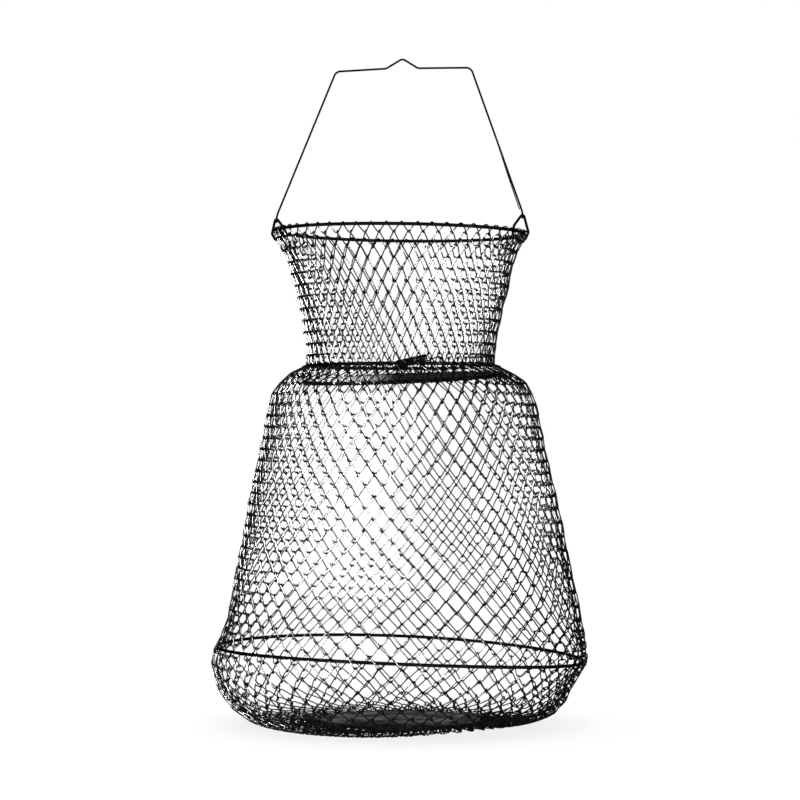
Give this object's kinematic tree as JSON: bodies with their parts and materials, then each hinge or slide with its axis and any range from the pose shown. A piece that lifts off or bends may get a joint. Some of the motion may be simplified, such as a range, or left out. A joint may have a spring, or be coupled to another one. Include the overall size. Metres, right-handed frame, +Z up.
{
  "type": "wire keep net",
  "caption": "Collapsible wire keep net: spiral wire mesh on three hoops, with a funnel neck, a sprung trap door under it, a round base plate and a wire bail.",
  "frame": {"origin": "middle of the base plate on the ground, under the middle of the whole net", "axes": "+Z up through the neck and the rim, +X to the viewer's right along the bail's swing axis, -Y the pictured front, +Y the side where the trap door is hinged"},
  "size_m": [0.3332, 0.3332, 0.5937],
  "materials": {
    "wire": "blackened steel wire, semi-gloss with a few bright breaks",
    "net": "dark coated steel wire, semi-gloss",
    "spring": "dark spring steel, satin",
    "plate": "dark grey sheet steel, satin"
  },
  "bodies": {
    "bottom": {"base_plate": "plate", "clamp_plate": "plate", "base_rivet": "plate", "bottom_net": "net"},
    "body_ring": {"body_hoop": "wire", "body_net": "net"},
    "neck": {"neck_hoop": "wire", "left_hinge_link": "wire", "right_hinge_link": "wire", "door_spring": "spring", "funnel_net": "net"},
    "door": {"door_hoop": "wire", "door_mesh": "net"},
    "rim": {"rim_hoop": "wire", "left_ear": "wire", "right_ear": "wire"},
    "bail": {"bail": "wire"}
  },
  "joints": [
    {"name": "bottom_fold", "type": "slide", "parent": "bottom", "child": "body_ring", "axis": [0, 0, -1], "range_m": [0, 0.039], "deforming": ["bottom_net"]},
    {"name": "body_fold", "type": "slide", "parent": "body_ring", "child": "neck", "axis": [0, 0, -1], "range_m": [0, 0.235], "deforming": ["body_net"]},
    {"name": "funnel_fold", "type": "slide", "parent": "neck", "child": "rim", "axis": [0, 0, -1], "range_m": [0, 0.104], "deforming": ["funnel_net"]},
    {"name": "door_hinge", "type": "hinge", "parent": "neck", "child": "door", "pos_m": [0, 0.08314, 0.3124], "axis": [-0.9992, 0, -0.0401], "range_deg": [-80, 0], "stiffness_Nm_per_rad": 0.2, "springref_deg": 20.05},
    {"name": "bail_swing", "type": "hinge", "parent": "rim", "child": "bail", "pos_m": [0, 0, 0.45175], "axis": [0.9998, 0, 0.0177], "range_deg": [-95, 95]}
  ]
}
